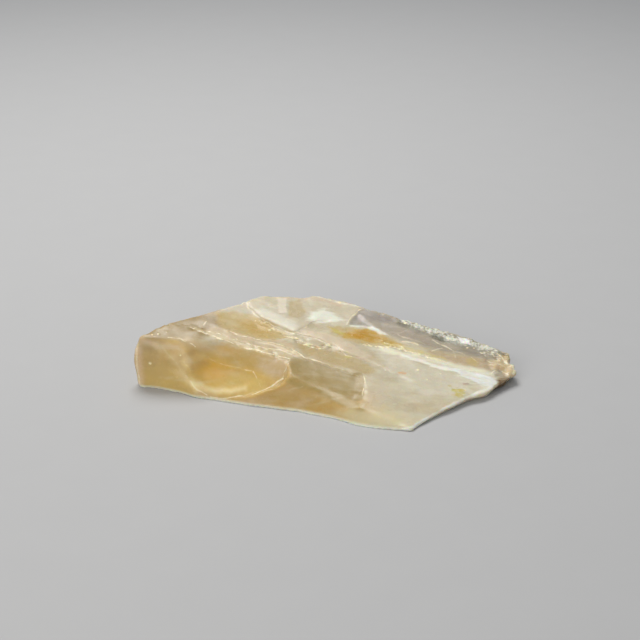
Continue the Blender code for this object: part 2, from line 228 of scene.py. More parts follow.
        "ledgeBright": (0.09, 0.03, 0.9, 0.2, (-2.8, -0.9, 4.6), (-1.8, -1.2, 4.4), (-0.5, -1.5, 4.1)),
        "ledgeLine": (0.07, 0.02, 0.65, 0.6, (-0.5, -1.5, 4.1), (1, -2.1, 3.8), (2.3, -2.6, 3.5),
            (3.2, -3.1, 3.2), (4.2, -3.4, 3)),
        "seam": (0.07, -0.03, -0.55, 0.3, (-8.5, 2.3, 5.7), (-7.3, 2.4, 5.6), (-6, 2.8, 5.4),
            (-5, 3.6, 5.5)),
        "whiteMark": (0.12, 0.03, 0.6, 0.4, (-16.2, 3.5, 7.2), (-15.8, 4.2, 7.4)),
        "stripeA": (0.09, 0.04, 0.7, 0.4, (-20.6, 0.2, 6.9), (-19, 0.1, 6.7), (-18, -0.4, 6.4),
            (-17, -0.6, 5.9)),
        "stripeB": (0.07, 0.03, 0.6, 0.3, (-19.7, 0.4, 6.9), (-18.2, 0, 6.6)),
        "shellRim": (0.07, 0.01, 0.5, 0.5, (-4.6, -1.1, 4.6), (-4.7, -2.4, 4.4), (-5, -3, 4),
            (-5.4, -3.4, 3.5), (-5.5, -4, 3)),
        "rimBright": (0.12, 0.01, 0.75, 0.3, (-5.5, -4, 3), (-6.4, -4.4, 2.5), (-7.3, -4.7, 2.1),
            (-8.2, -5, 1.7), (-9.1, -5.1, 1.3)),
        "rimLow": (0.1, 0.02, 0.6, 0.4, (-9.1, -5.1, 1.3), (-10.4, -5, 0.9), (-12.1, -4.9, 0.6),
            (-13.7, -4.6, 0.4), (-15, -4.2, 0.4)),
        "rimLeft": (0.09, 0.02, 0.45, 0.5, (-15.4, -4, 0.5), (-16.7, -3.4, 1.1), (-17.5, -2.8, 1.9),
            (-18.2, -2.3, 2.6)),
        "rimHigh": (0.08, 0.01, 0.25, 0.7, (-18.5, -1.7, 4.3), (-17.9, -2.1, 3.7), (-17.4, -2.1, 2.8)),
        "crack": (0.07, 0.02, 0.5, 0.6, (-15.5, -1.2, 4.4), (-14, -1.5, 4), (-12.7, -1.8, 3.7),
            (-11.4, -2.1, 3.5), (-9.6, -2.6, 3.3)),
        "shortCrack": (0.07, 0.02, 0.5, 0.4, (-9.4, -2.6, 3.3), (-8.9, -3.4, 2.7), (-8.4, -4.3, 2)),
        "leftRim": (0.2, 0, 0.5, 0.4, (-24.5, -0.1, 6.5), (-24.8, -0.3, 4.3), (-24.8, -0.4, 3),
            (-24.6, -0.3, 0.6)),
        "scoopRim": (0.1, 0.01, 0.12, 0.8, (-23, -0.4, 7.1), (-22.1, -0.7, 6.8), (-21.2, -0.9, 5.8),
            (-20.3, -1.1, 4.8), (-19.3, -1.6, 3.9)),
        "scoopStreak": (0.07, 0.01, 0.3, 0.5, (-20.7, -1.5, 1.8), (-19.3, -2.1, 2.3)),
        "topRim": (0.09, 0.01, 0.25, 0.8, (-24.7, 0, 7), (-23.6, -0.5, 7.1), (-21.4, -0.4, 6.9),
            (-19.6, -0.6, 6.6)),
        "plateauLine": (0.09, 0.03, 0.65, 0.4, (-10.6, 9.5, 7.7), (-10.2, 8.5, 7.3), (-9.4, 7.3, 6.9),
            (-8, 6.3, 6.5), (-6.3, 5.4, 6), (-5, 4.6, 5.7), (-4.2, 4.2, 5.6)),
        "plateauFold": (0.09, 0.02, 0.5, 0.5, (-4.2, 4.2, 5.6), (-3.3, 4.9, 5.8), (-2.2, 6.2, 6),
            (-1.3, 7.4, 6.2)),
        "blockEdge": (0.07, 0.02, 0.45, 0.5, (-5.4, 11.8, 7.7), (-5.3, 8.4, 6.9), (-6.3, 8, 6.9)),
        "tentLine": (0.1, 0.04, 0.7, 0.5, (2.9, 7.2, 5.7), (3.4, 8.7, 5.9), (4.1, 9.9, 6.1), (4.9, 11, 6.2),
            (5.3, 11.4, 6.2)),
        "layerLine": (0.08, 0.03, 0.75, 0.35, (-3.8, 4.4, 5.7), (-1.4, 3.4, 5.3), (0.1, 2.7, 4.9),
            (1.3, 2.3, 4.7), (2.1, 1.5, 4.4), (2.7, 0.7, 4.1), (3.4, 0.6, 4)),
        "layerLineOn": (0.07, 0.02, 0.22, 0.7, (4.2, 0.3, 3.8), (7.4, -1.3, 3.1), (10.4, -2.8, 2.5)),
        "hingeTop": (0.1, 0.01, 0.7, 0.2, (4.9, -2.9, 3.1), (5.1, -4, 2.9)),
        "hingeLight": (0.07, 0.02, 0.9, 0.15, (5.1, -4, 2.9), (5.1, -5.1, 2.7), (4.8, -6.4, 2.3),
            (4.6, -7.4, 2.1)),
        "pinkWave": (0.12, 0.02, 0.6, 0.5, (14.5, 5.7, 3.9), (15.2, 5.2, 3.7), (15.9, 4.9, 3.5),
            (16.6, 4.5, 3.3), (17.2, 3.9, 3.2), (18.3, 3.5, 3)),
        "paleStreak": (0.09, 0.02, 0.4, 0.5, (14.2, 3.2, 3.5), (15.8, 4.3, 3.4)),
        "veilRay": (0.09, 0.01, 0.2, 0.7, (8.6, 5.4, 4.6), (10.4, 6.6, 4.8), (11.6, 7.8, 4.8)),
        "tipVeinHigh": (0.09, 0.03, 0.7, 0.4, (21.6, 2.9, 2.2), (23.2, 1.9, 2.1), (24, 1.6, 1.7)),
        "tipVeinLow": (0.09, 0.03, 0.7, 0.3, (21.8, -0.2, 1.7), (22.6, 0.7, 1.8)),
        "tipVeinEnd": (0.09, 0.03, 0.6, 0.3, (23.4, 0.9, 1.6), (24.2, -0.1, 1.6)),
        "tipRim": (0.2, 0.02, 0.85, 0.2, (24.1, 3, 2), (24.7, 2.4, 2), (25.1, 1.5, 1.7), (24.9, 0.2, 1.5)),
        "knobRim": (0.13, 0.02, 0.75, 0.3, (23.9, 4.9, 2.6), (24.7, 4.7, 2.5), (24.8, 4.1, 2.4),
            (24.5, 3.4, 2.3)),
        "pinkStreak": (0.16, 0.01, 0.65, 0.2, (10.5, 4.6, 4.3), (11.5, 4.5, 4.1), (12.4, 4.2, 4)),
        "featherA": (0.09, 0.03, 0.7, 0.4, (21.1, 4.2, 2.7), (21.7, 3.4, 2.4)),
        "featherB": (0.09, 0.03, 0.7, 0.4, (21.8, 4.4, 2.6), (22.7, 3.9, 2.3)),
        "featherC": (0.11, 0.03, 0.75, 0.3, (22.4, 4.4, 2.6), (22.9, 3.8, 2.4), (23.2, 2.9, 2.2)),
        "featherD": (0.1, 0.03, 0.8, 0.3, (23.2, 4.3, 2.6), (23.9, 3.4, 2.1), (24.4, 2.3, 1.8)),
        "featherE": (0.08, 0.02, 0.6, 0.5, (20.7, 2.6, 2.5), (22.4, 1.5, 2.2), (23.2, 1.4, 1.9)),
        "featherF": (0.08, 0.02, 0.6, 0.4, (23, 1.1, 1.7), (24.1, 0, 1.7)),
        "featherG": (0.08, 0.02, 0.7, 0.3, (22.1, 0.3, 1.7), (22.6, 0.8, 1.9)),
        "wispA": (0.08, 0.01, 0.4, 0.6, (16.9, 4.1, 3.2), (17.3, 3.2, 3), (17.2, 2.3, 2.9)),
        "wispB": (0.08, 0.01, 0.45, 0.5, (14.3, 3.4, 3.5), (15.4, 4.1, 3.5)),
        "wispC": (0.07, 0.01, 0.4, 0.5, (19.4, 2.9, 2.7), (20.2, 2, 2.4)),
        "wispD": (0.14, 0.01, 0.4, 0.6, (9.8, 5.9, 4.6), (11.6, 5.1, 4.2), (13.2, 4.8, 3.9)),
        "tipDark": (0.07, -0.02, -0.5, 0.3, (22.2, -0.7, 1.6), (22.9, -0.3, 1.6), (24, -0.4, 1.4)),
        "wallStreak": (0.1, 0.01, 0.25, 0.6, (-4.5, -6, 2.4), (-2.9, -5.9, 2.8)),
        "bandEdge": (0.08, 0.01, 0.5, 0.5, (10.8, 1.3, 3.5), (13, 0.7, 3.1), (15.1, -0.1, 2.7),
            (17.1, -0.4, 2.4)),
    },

    # Single bright flecks: x, y, z and half width.
    "flecks": [
        (-23.6, -0.3, 7.1, 0.16), (-22.7, 0.4, 7.2, 0.13), (-21.9, 0.6, 7.2, 0.16), (-20.9, 1.1, 7.2, 0.12),
        (-24.1, 0.4, 7.3, 0.13), (-15.9, -2.4, 2.7, 0.14), (-18.9, -1.3, 5, 0.15), (-23, -0.7, 3.6, 0.22),
        (-9.4, 6.3, 6.5, 0.13), (-9, 6.1, 6.5, 0.12), (-8.1, 6.1, 6.3, 0.14), (-7.4, 4.8, 5.9, 0.18),
        (-6.8, 4.9, 5.9, 0.16), (-7.9, 4.4, 5.9, 0.12), (-6.5, 4.3, 5.8, 0.14), (10.1, 2.9, 3.9, 0.14),
        (12.1, -1.1, 2.8, 0.2), (15.1, -1.4, 2.4, 0.16), (13.2, -3, 2.3, 0.14), (2, 11.9, 6.8, 0.26),
        (9.2, 6.6, 5, 0.12), (11.4, 5.6, 4.6, 0.16), (-11.6, -3.9, 1, 0.1), (7.9, -1.6, 3, 0.11),
        (-2.4, -2.6, 4, 0.11), (1.6, -4.6, 3, 0.11), (-1.2, -7.2, 1.9, 0.1), (10.9, 8.8, 5, 0.24),
        (17.2, -4.6, 1.4, 0.11), (18.1, -4.3, 1.4, 0.12), (17.8, -5.2, 1.2, 0.12), (18.6, -4.8, 1.25, 0.11),
        (19.1, 4.9, 3.2, 0.16), (3.6, 5, 5.1, 0.09), (4.9, 5.2, 5, 0.1), (6.6, 4.6, 4.7, 0.07),
        (7.6, 4.4, 4.5, 0.1), (5.9, 3.2, 4.4, 0.14), (6.8, 3.1, 4.25, 0.12), (7.7, 3, 4.1, 0.15),
        (8.7, 3.4, 4.15, 0.18), (9.3, 3.3, 4, 0.16), (9.9, 2.9, 3.9, 0.15), (10.7, 2.6, 3.8, 0.13),
        (11.6, 2.4, 3.65, 0.13), (12.5, 2.1, 3.5, 0.12), (13.6, 1.7, 3.3, 0.12), (20, 5, 3.1, 0.14),
        (16.6, 6.6, 3.9, 0.2), (-13, 3, 6.6, 0.12),
    ],

    # Colour markings, painted in this order: kind, colour, width of the border, how far it strays, strength,
    # and how broken up the marking is. Then comes an area's outline in plan, a band's half width and the
    # line that it follows, or the turn in plan, middle and reach of a patch, which is an oval.
    # The border of a streaky marking frays along the layers. One that is over lies on the crust too.
    "markings": {
        "honey": ("patch", (0.52, 0.335, 0.1), 2.6, 0.5, 0.85, 0.1, -17, (-11.5, -5.2, 2), (18.5, 5.6, 6)),
        "wallDeep": ("patch", (0.47, 0.305, 0.078), 1.6, 0.4, 0.7, 0.1, -20, (-4.5, -7.2, 1.6),
            (5.2, 1.6, 1.3)),
        "leftHoney": ("patch", (0.66, 0.475, 0.16), 1.6, 0.4, 0.8, 0.15, -17, (-20.4, -1.4, 1.6),
            (4, 2.6, 2.2)),
        "leftScoop": ("patch", (0.56, 0.4, 0.16), 1.3, 0.4, 0.6, 0.15, -17, (-21.9, -0.9, 4.1),
            (2, 2, 2.4)),
        "leftPink": ("band", (0.7, 0.54, 0.38), 1, 0.3, 0.7, 0.3, 0.3, (-24.4, -0.2, 6.6), (-24.3, -0.5, 4),
            (-24.4, -0.6, 0.5)),
        "haze": ("patch", (0.37, 0.27, 0.125), 1.6, 0.5, 0.92, 0.12, 30, (-18.6, 2.4, 7.3), (6.4, 2.8, 3)),
        "hazePale": ("area", (0.52, 0.43, 0.31), 0.9, 0.3, 0.65, 0.2, (-17.4, 3.6), (-16.1, 6.2),
            (-14.7, 7), (-13.7, 5.3), (-13.7, 3), (-15.3, 2.6)),
        "shoulder": ("patch", (0.7, 0.5, 0.2), 1.4, 0.3, 0.8, 0.15, -17, (-20.1, -0.9, 5.6),
            (1.7, 1.3, 1.5)),
        "scoopTop": ("band", (0.74, 0.58, 0.37), 1.3, 0.4, 0.7, 0.3, 0.3, (-24.2, -0.5, 6.6),
            (-22.2, -0.8, 6.3), (-20.4, -0.8, 6.1), (-18.8, -0.8, 5.9)),
        "scoopLight": ("band", (0.74, 0.59, 0.32), 1, 0.3, 0.6, 0.2, 0.25, (-22.4, -0.7, 6.6),
            (-20.3, -1.1, 4.8), (-19.1, -1.8, 3.5), (-17.8, -2.7, 1.9), (-16.6, -3.3, 1.1)),
        "paleBack": ("area", (0.66, 0.61, 0.49), 0.6, 0.3, 0.75, 0.2, (-14.5, 7.6), (-11, 10.2),
            (-9.9, 8.4), (-8.7, 7), (-11.5, 7), (-13.6, 6.4)),
        "shell": ("patch", (0.56, 0.38, 0.115), 1.4, 0.4, 0.7, 0.2, -17, (-11, -1.6, 4.2), (6.8, 2.5, 2.1)),
        "shellPink": ("patch", (0.62, 0.49, 0.33), 1, 0.5, 0.7, 0.4, -17, (-6.7, -2.4, 4), (2.2, 1.6, 1.6)),
        "bundle": ("streaky area", (0.65, 0.52, 0.3), 0.35, 0.16, 0.7, 0.3, (-17.4, 2.6), (-16, 1.7),
            (-13.6, 1), (-10.6, 0), (-7.3, -0.9), (-4.8, -1.4), (-3.5, -0.7), (-3.6, 0.2), (-4.9, 0.4),
            (-7.5, 0.2), (-10.4, 0.8), (-13.4, 1.9), (-15.5, 2.5)),
        "underBundle": ("band", (0.68, 0.53, 0.32), 1.3, 0.3, 0.7, 0.2, 0.4, (-18.3, 0, 6.6),
            (-16.7, -0.3, 6.1), (-14.6, -0.1, 5.3), (-13, -0.4, 4.9)),
        "dish": ("area", (0.6, 0.455, 0.2), 0.9, 0.3, 0.88, 0.12, (-14.9, 6.6), (-12.6, 7.3), (-9.9, 7.5),
            (-8.5, 6.5), (-7.2, 5.6), (-5.2, 4.6), (-4.9, 3.4), (-7.3, 2.3), (-8.7, 2), (-10.9, 2.4),
            (-12.9, 2.9), (-14.4, 4.4)),
        "dishDeep": ("patch", (0.55, 0.365, 0.105), 1.2, 0.4, 0.75, 0.1, -17, (-9.2, 5, 6.2),
            (2.6, 1.7, 1)),
        "dishFoot": ("area", (0.62, 0.48, 0.285), 0.5, 0.2, 0.7, 0.15, (-15.2, 3.1), (-12.9, 3.3),
            (-10.9, 2.8), (-8.7, 2.3), (-7.3, 2.6), (-5, 2.6), (-3.9, 1.4), (-3.9, 0.3), (-7.5, 0.1),
            (-10.4, 0.7), (-13.4, 1.8), (-15.5, 2.4)),
        "facet": ("area", (0.385, 0.285, 0.115), 1.1, 0.3, 0.85, 0.1, (-4.6, -1.5), (-3.5, -0.9),
            (-0.7, -1.6), (2.9, -2.9), (4.7, -3.4), (5, -4.6), (4.5, -7.3), (2.5, -8.2), (-1.4, -6),
            (-4.9, -4.4)),
        "facetEnd": ("band", (0.385, 0.285, 0.12), 0.35, 0.1, 0.85, 0.1, 0.75, (4.3, -3.6, 3.05),
            (4.3, -5.1, 2.8), (4.1, -6.5, 2.4), (4, -7.7, 2.1)),
        "wallBand": ("band", (0.39, 0.285, 0.1), 0.9, 0.2, 0.9, 0.1, 0.6, (-4.6, -5.2, 3.3),
            (-1.2, -6.3, 2.6), (1.1, -7.6, 2.1), (3.3, -9, 1.65), (4.4, -10.1, 1.55)),
        "lowGreen": ("patch", (0.63, 0.555, 0.335), 0.8, 0.3, 0.7, 0.1, -25, (4.4, -11, 0.9),
            (3.2, 1.2, 0.8)),
        "rimStain": ("area", (0.6, 0.52, 0.22), 0.35, 0.2, 0.6, 0.3, (8.1, -11.5), (9.4, -11.2),
            (9.9, -12.2), (8.3, -12.3)),
        "frontCream": ("patch", (0.74, 0.66, 0.42), 1.8, 0.4, 0.6, 0.15, -17, (8.3, -11.6, 1.1),
            (3.2, 2.2, 1.2)),
        "middle": ("area", (0.52, 0.385, 0.165), 1.2, 0.3, 0.7, 0.15, (-3.9, 2.6), (-0.7, 1.8), (2.2, 1.5),
            (4.8, 0), (6.4, -1.6), (5.6, -3), (0.6, -1.7), (-3.3, 0.1)),
        "pinkVeil": ("streaky area", (0.72, 0.6, 0.44), 0.5, 0.25, 0.75, 0.2, (-3.6, 5), (-0.7, 5),
            (2.2, 4), (4.2, 2.4), (6.5, 0.6), (4.4, 0.3), (2.6, 1), (-0.1, 2.7), (-2.7, 3.9)),
        "hingePale": ("area", (0.66, 0.565, 0.41), 0.5, 0.2, 0.55, 0.1, (5.1, -3.4), (6, -4.1), (7, -4.5),
            (8.3, -5), (8, -6.8), (7.3, -8.6), (6.6, -10.5), (5.9, -9.4), (4.8, -7.8), (5.2, -5.1)),
        "plateau": ("area", (0.62, 0.555, 0.41), 0.16, 0.06, 0.9, 0.1, (-11.2, 10.6), (-10.3, 8.5),
            (-9.4, 7.3), (-8, 6.3), (-6.3, 5.4), (-5, 4.6), (-4.2, 4.2), (-3.3, 4.9), (-2.2, 6.2),
            (-1.3, 7.2), (3.1, 7.2), (5, 11.2), (0, 14), (-6, 14)),
        "plateauWhite": ("area", (0.77, 0.745, 0.62), 0.9, 0.3, 0.7, 0.15, (-9.4, 7.8), (-7.4, 6.3),
            (-5.4, 5.1), (-4.3, 4.6), (-3.4, 5.6), (-4.8, 6.9), (-6.8, 8), (-8.4, 9)),
        "milk": ("streaky area", (0.86, 0.86, 0.74), 0.9, 0.3, 0.9, 0.15, (-2.6, 7.4), (-1.6, 9.2),
            (0, 10.1), (1.6, 9.1), (2.9, 8), (0.6, 7.4), (-1.2, 7)),
        "squareBlock": ("area", (0.83, 0.76, 0.6), 0.4, 0.15, 0.75, 0.15, (-6.7, 11.4), (-5.4, 11.6),
            (-5.2, 8.4), (-6.3, 8)),
        "brownPatch": ("area", (0.54, 0.43, 0.24), 0.5, 0.2, 0.65, 0.15, (-5.1, 10.5), (-3.5, 11.8),
            (-2.6, 9), (-3.6, 7.4), (-4.9, 7.6)),
        "pinkEdge": ("band", (0.66, 0.5, 0.36), 0.7, 0.3, 0.6, 0.2, 0.3, (-2.6, 12.3, 7.3), (0.5, 11.9, 7),
            (2, 11.3, 6.7)),
        "backRim": ("band", (0.93, 0.89, 0.76), 0.4, 0.15, 0.8, 0.3, 0.12, (-10.9, 9.8, 7.8),
            (-8.7, 11.5, 7.9), (-5.4, 12.6, 7.8), (-1.4, 13, 7.4), (2, 11.9, 6.8), (5.3, 11.4, 6.2),
            (7.5, 10.5, 5.8), (9.6, 9.7, 5.4)),
        "veil": ("area", (0.37, 0.325, 0.255), 1, 0.45, 0.82, 0.15, (3.2, 7.5), (5.1, 11.6), (12, 10.6),
            (25.5, 6.2), (24, 3.2), (20.6, 3), (17.9, 3.1), (15.3, 3.6), (12.6, 4.2), (10, 5), (8.4, 6),
            (6.2, 7.2)),
        "veilPink": ("streaky patch", (0.47, 0.39, 0.31), 1.4, 0.4, 0.6, 0.2, -17, (11.6, 6.2, 4.7),
            (3.4, 1.4, 1)),
        "veilLilac": ("patch", (0.34, 0.3, 0.285), 1.2, 0.4, 0.6, 0.2, -17, (7.4, 9.2, 5.8), (2.4, 1.2, 1)),
        "veilTop": ("patch", (0.5, 0.46, 0.41), 0.8, 0.3, 0.65, 0.2, -20, (5.7, 10.6, 6), (1.1, 0.9, 0.6)),
        "tent": ("area", (0.375, 0.335, 0.29), 0.16, 0.06, 0.75, 0.2, (3.2, 7.2), (3.5, 8.4), (4, 9.4),
            (4.6, 10.1), (5.2, 10), (5.7, 8.9), (6.3, 7.6), (4.6, 7.4)),
        "tentHeart": ("patch", (0.6, 0.52, 0.49), 0.4, 0.2, 0.5, 0.3, 0, (4.8, 8.9, 5.8), (0.5, 0.7, 0.5)),
        "rustHalo": ("area", (0.56, 0.4, 0.12), 0.9, 0.4, 0.7, 0.3, (0.2, 6.4), (3.3, 6.6), (7.4, 6.2),
            (10.4, 3.9), (9, 3.2), (4.6, 3.3), (1, 4.6)),
        "rust": ("area", (0.58, 0.36, 0.06), 0.4, 0.5, 0.85, 0.6, (0.8, 6), (2, 5.5), (3.6, 5.9),
            (4.9, 6.5), (5.8, 6.8), (6.8, 6.4), (7.9, 5.4), (9.2, 4.6), (10.2, 3.7), (8.6, 3.4), (7, 3.9),
            (4.9, 4.2), (3, 4.3), (1.7, 4.6)),
        "rustCore": ("area", (0.53, 0.28, 0.028), 0.8, 0.5, 0.85, 0.65, (2.8, 5.3), (4.9, 6.3), (6.8, 5.8),
            (7.9, 4.8), (6.2, 4.3), (4.1, 4.5)),
        "rustTail": ("streaky band", (0.6, 0.38, 0.08), 0.5, 0.3, 0.75, 0.4, 0.15, (8.9, 4.3, 4.4),
            (10.2, 3.9, 4.2), (11.6, 3.5, 4)),
        "rustDeep": ("streaky band", (0.49, 0.31, 0.06), 0.6, 0.3, 0.65, 0.4, 0.3, (5.6, 5.1, 4.9),
            (7.4, 4.7, 4.6), (8.9, 4.1, 4.3)),
        "rustGreen": ("area", (0.62, 0.53, 0.14), 0.5, 0.2, 0.8, 0.3, (0.5, 6.3), (1.7, 5.7), (2.7, 4.9),
            (1.4, 4.8)),
        "whitePatch": ("area", (0.88, 0.87, 0.8), 0.4, 0.3, 0.8, 0.35, (3.2, 7.2), (5.5, 7.4), (6.4, 7.5),
            (7.2, 6.8), (8.4, 5.7), (7.4, 5.8), (6.3, 6.7), (5.4, 7), (3.4, 6.8)),
        "veilWisps": ("streaky band", (0.56, 0.51, 0.44), 1.2, 0.7, 0.4, 0.2, 0.1, (7.5, 8.2, 5.4),
            (12.5, 6.6, 4.5), (17.5, 4.6, 3.3)),
        "tanBand": ("streaky area", (0.53, 0.405, 0.25), 0.6, 0.35, 0.8, 0.2, (13.4, 3.5), (17.9, 2.8),
            (20.6, 2.9), (24.6, 2.8), (24.6, -0.2), (22.8, 0.4), (20.5, 0.6), (17.8, 1), (14.2, 2)),
        "tipTan": ("patch", (0.64, 0.5, 0.3), 0.8, 0.2, 0.85, 0.2, 0, (23.9, 1.9, 1.9), (1.9, 2, 1.2)),
        "yellowPatch": ("area", (0.6, 0.47, 0.17), 0.5, 0.4, 0.6, 0.3, (18.7, 2.4), (19.6, 2.7),
            (20.4, 1.9), (19.7, 1.1), (18.9, 1.4)),
        "yellowLine": ("band", (0.7, 0.58, 0.26), 0.5, 0.3, 0.8, 0.4, 0.25, (7.8, 3.9, 4.4),
            (9.3, 3.7, 4.2), (11.3, 2.9, 3.8), (13.3, 2.5, 3.5), (15.9, 2, 3)),
        "creamGreen": ("streaky area", (0.71, 0.665, 0.53), 1.6, 0.5, 0.7, 0.1, (6.5, 2.4), (10, 1.8),
            (13.8, 0), (19, -2.4), (17, -6), (13, -6), (10.5, -4), (8, -1.6)),
        "creamShade": ("patch", (0.56, 0.52, 0.37), 2, 0.5, 0.4, 0.2, -17, (12, -3.1, 2.4), (3, 1.8, 1.5)),
        "bandCream": ("streaky band", (0.87, 0.84, 0.66), 1.1, 0.2, 0.9, 0.15, 0.55, (7.9, 2.5, 4),
            (9.5, 2, 3.8), (11.2, 1.8, 3.6), (13.2, 1.5, 3.3), (15.2, 1.1, 2.9), (17.1, 0.7, 2.5),
            (19.6, 0.2, 2.2), (21.6, -0.2, 1.9)),
        "whiteLine": ("streaky band", (0.92, 0.92, 0.8), 0.45, 0.12, 0.95, 0.15, 0.36, (10.2, 1.5, 3.6),
            (13, 0.7, 3.1), (15.1, -0.1, 2.7), (17.4, -0.5, 2.4)),
        "whiteBand": ("streaky area", (0.87, 0.895, 0.86), 0.9, 0.5, 0.95, 0.3, (15.6, 0.3), (17.1, 0.2),
            (18.4, -0.2), (19.7, -0.5), (21.3, -0.6), (22.2, -1.2), (22.8, -2.4), (21.6, -3.5),
            (20.2, -2.9), (18.9, -2.1), (17.9, -1.3), (16.8, -0.4)),
        "whiteVein": ("streaky band", (0.93, 0.95, 0.93), 0.35, 0.3, 0.9, 0.3, 0.05, (17, 0.2, 2.4),
            (19.3, -0.5, 2), (21.7, -0.9, 1.7)),
        "whiteStreaks": ("streaky band", (0.8, 0.77, 0.6), 0.5, 0.6, 0.75, 0.3, 0.02, (17.6, -0.5, 2.2),
            (19.6, -1.3, 1.9), (22, -2.1, 1.5)),
        "bandGold": ("streaky band", (0.66, 0.53, 0.24), 0.35, 0.35, 0.45, 0.5, 0.02, (16.2, 0.7, 2.7),
            (17.8, 0.2, 2.35), (19.3, -0.35, 2)),
        "bandFoot": ("streaky band", (0.8, 0.77, 0.62), 1.1, 0.5, 0.65, 0.2, 0.35, (17.4, -1.8, 2),
            (19.2, -3, 1.6), (20.8, -3.8, 1.2)),
        "bowlYellow": ("patch", (0.74, 0.54, 0.18), 1.6, 0.3, 0.8, 0.1, -10, (-12.2, -3.1, 2),
            (5.2, 1.9, 1.6)),
        # the stone's orange brightened into a painted glow of light shining through the bowl
        "paintedGlow": ("patch", (0.73, 0.435, 0.08), 2.2, 0.35, 0.85, 0.1, -17, (-14.7, -2.1, 3),
            (2.2, 1.5, 1.4)),
        # painted glow of light shining through, along the crack
        "paintedGlowRight": ("band", (0.63, 0.38, 0.08), 1.4, 0.3, 0.45, 0.1, 0.3, (-14, -1.8, 3.5),
            (-11.4, -2.2, 3.2), (-9.6, -2.6, 3.1)),
        # painted glow of light shining through, above the bowl
        "paintedGlowUp": ("patch", (0.62, 0.36, 0.1), 1.1, 0.3, 0.45, 0.2, -17, (-12.8, 0, 5.3), (1.4, 0.7, 0.7)),
        "bowlLeft": ("band", (0.8, 0.62, 0.24), 0.8, 0.3, 0.75, 0.3, 0.3, (-18.5, -1.7, 4.3),
            (-17.9, -2.2, 3.5), (-17.4, -2.8, 2), (-16.7, -3.4, 1.1)),
        "bowlCorner": ("band", (0.7, 0.52, 0.23), 1.1, 0.3, 0.6, 0.2, 0.5, (-18.6, -1, 5.5),
            (-18.3, -1.5, 4.6)),
        "bowlUpper": ("band", (0.73, 0.54, 0.23), 1.3, 0.3, 0.5, 0.2, 0.4, (-17.8, -1.8, 4.4),
            (-17, -1.8, 4.8), (-16, -1.3, 4.8)),
        # painted highlight along the lowest ripple of the bowl, where it turns up
        "rippleHighlight": ("band", (0.88, 0.76, 0.46), 0.9, 0.12, 0.78, 0.2, 0.3, (-17.3, -2.8, 1.9),
            (-15.7, -3.4, 1.3), (-14.4, -3.8, 1.1), (-12.4, -4.1, 1.2), (-10.5, -4.1, 1.6)),
        "rustSpot": ("patch", (0.66, 0.31, 0.11), 0.35, 0.5, 0.7, 0.7, -5, (10.25, -2, 2.75),
            (0.3, 0.2, 0.3)),
        "rustCrumb": ("patch", (0.74, 0.47, 0.22), 0.25, 0.3, 0.7, 0.4, 20, (9.75, -1.95, 2.85),
            (0.18, 0.15, 0.2)),
        "greenSpot": ("patch", (0.6, 0.52, 0.16), 0.35, 0.15, 0.7, 0.3, 0, (3, 0.4, 4), (0.55, 0.3, 0.4)),
        "stainCream": ("patch", (0.86, 0.82, 0.66), 0.6, 0.4, 0.45, 0.8, -25, (18.3, -4.2, 1.45),
            (1.2, 0.6, 0.6)),
        "oliveStroke": ("band", (0.5, 0.41, 0.05), 0.5, 0.7, 0.95, 0.4, 0.14, (16.1, -3.8, 1.65),
            (16.8, -4.4, 1.5), (17, -5.4, 1.25)),
        "oliveBranch": ("band", (0.56, 0.42, 0.1), 0.5, 0.7, 0.9, 0.5, 0.14, (17.1, -4.2, 1.55),
            (17.9, -4.6, 1.4), (17.6, -5.4, 1.15)),
        "oliveHaze": ("patch", (0.63, 0.53, 0.17), 0.5, 0.8, 0.95, 0.9, 20, (17.2, -5, 1.35), (1, 1, 0.6)),
        "redDots": ("patch", (0.33, 0.15, 0.08), 0.3, 0.6, 0.8, 0.5, -10, (18.4, -3.2, 1.65),
            (0.4, 0.25, 0.3)),
        # painted glow of light through the thin front-right edge
        "rightRimGlow": ("band", (0.97, 0.94, 0.82), 0.4, 0.15, 0.95, 0.15, 0.25, (9.6, -13, 0.2),
            (11.2, -12.5, 0.4), (12.5, -11.1, 0.5), (14.5, -8.9, 0.7), (16.6, -7, 0.9), (18.7, -5.3, 1.1),
            (20.3, -4.1, 1.2), (21.7, -3, 1.2)),
        "tipGrey": ("area", (0.33, 0.3, 0.245), 0.3, 0.15, 0.7, 0.4, (22.1, 0.6), (23.2, 1.1), (23.6, -0.3),
            (22.3, -0.9)),
        "knobAmber": ("patch", (0.38, 0.27, 0.075), 0.35, 0.2, 0.8, 0.4, 0, (24.2, 4, 2.35),
            (0.5, 0.6, 0.5)),
        "darkBand": ("band over", (0.23, 0.22, 0.185), 1, 0.6, 0.6, 0.6, 0.35, (12.4, 7.1, 4.5),
            (14, 6.9, 4.2), (15.5, 6.3, 3.9), (17.9, 5.4, 3.4), (19.2, 4.9, 3.2), (20.5, 4.5, 3),
            (21.6, 4.6, 2.8)),
        "greenHeart": ("patch over", (0.12, 0.12, 0.08), 0.5, 0.3, 0.9, 0.5, -17, (15.4, 6.4, 3.9),
            (1.3, 0.55, 0.7)),
        "darkNotch": ("patch over", (0.2, 0.185, 0.14), 0.4, 0.3, 0.85, 0.4, -17, (10.5, 8.2, 5.1),
            (0.8, 0.5, 0.5)),
        "darkLow": ("patch", (0.24, 0.215, 0.18), 0.5, 0.3, 0.65, 0.3, -10, (19.4, 4, 2.9),
            (1.4, 0.35, 0.5)),
        "crustBlock": ("area over", (0.96, 0.95, 0.91), 0.2, 0.12, 0.95, 0.2, (17.9, 7.3), (19.5, 6.8),
            (19.7, 5.8), (18.4, 6)),
        # the stone's amber darkened with painted shade under the overhanging tip
        "tipAmberShade": ("patch over", (0.16, 0.075, 0.01), 0.4, 0.25, 1, 0.2, 20, (23.3, -1.2, 0.7),
            (1.6, 1.4, 0.85)),
    },
}


def ease(low, high, value):
    t = np.clip((value - low) / (high - low), 0.0, 1.0)
    return t * t * (3.0 - 2.0 * t)


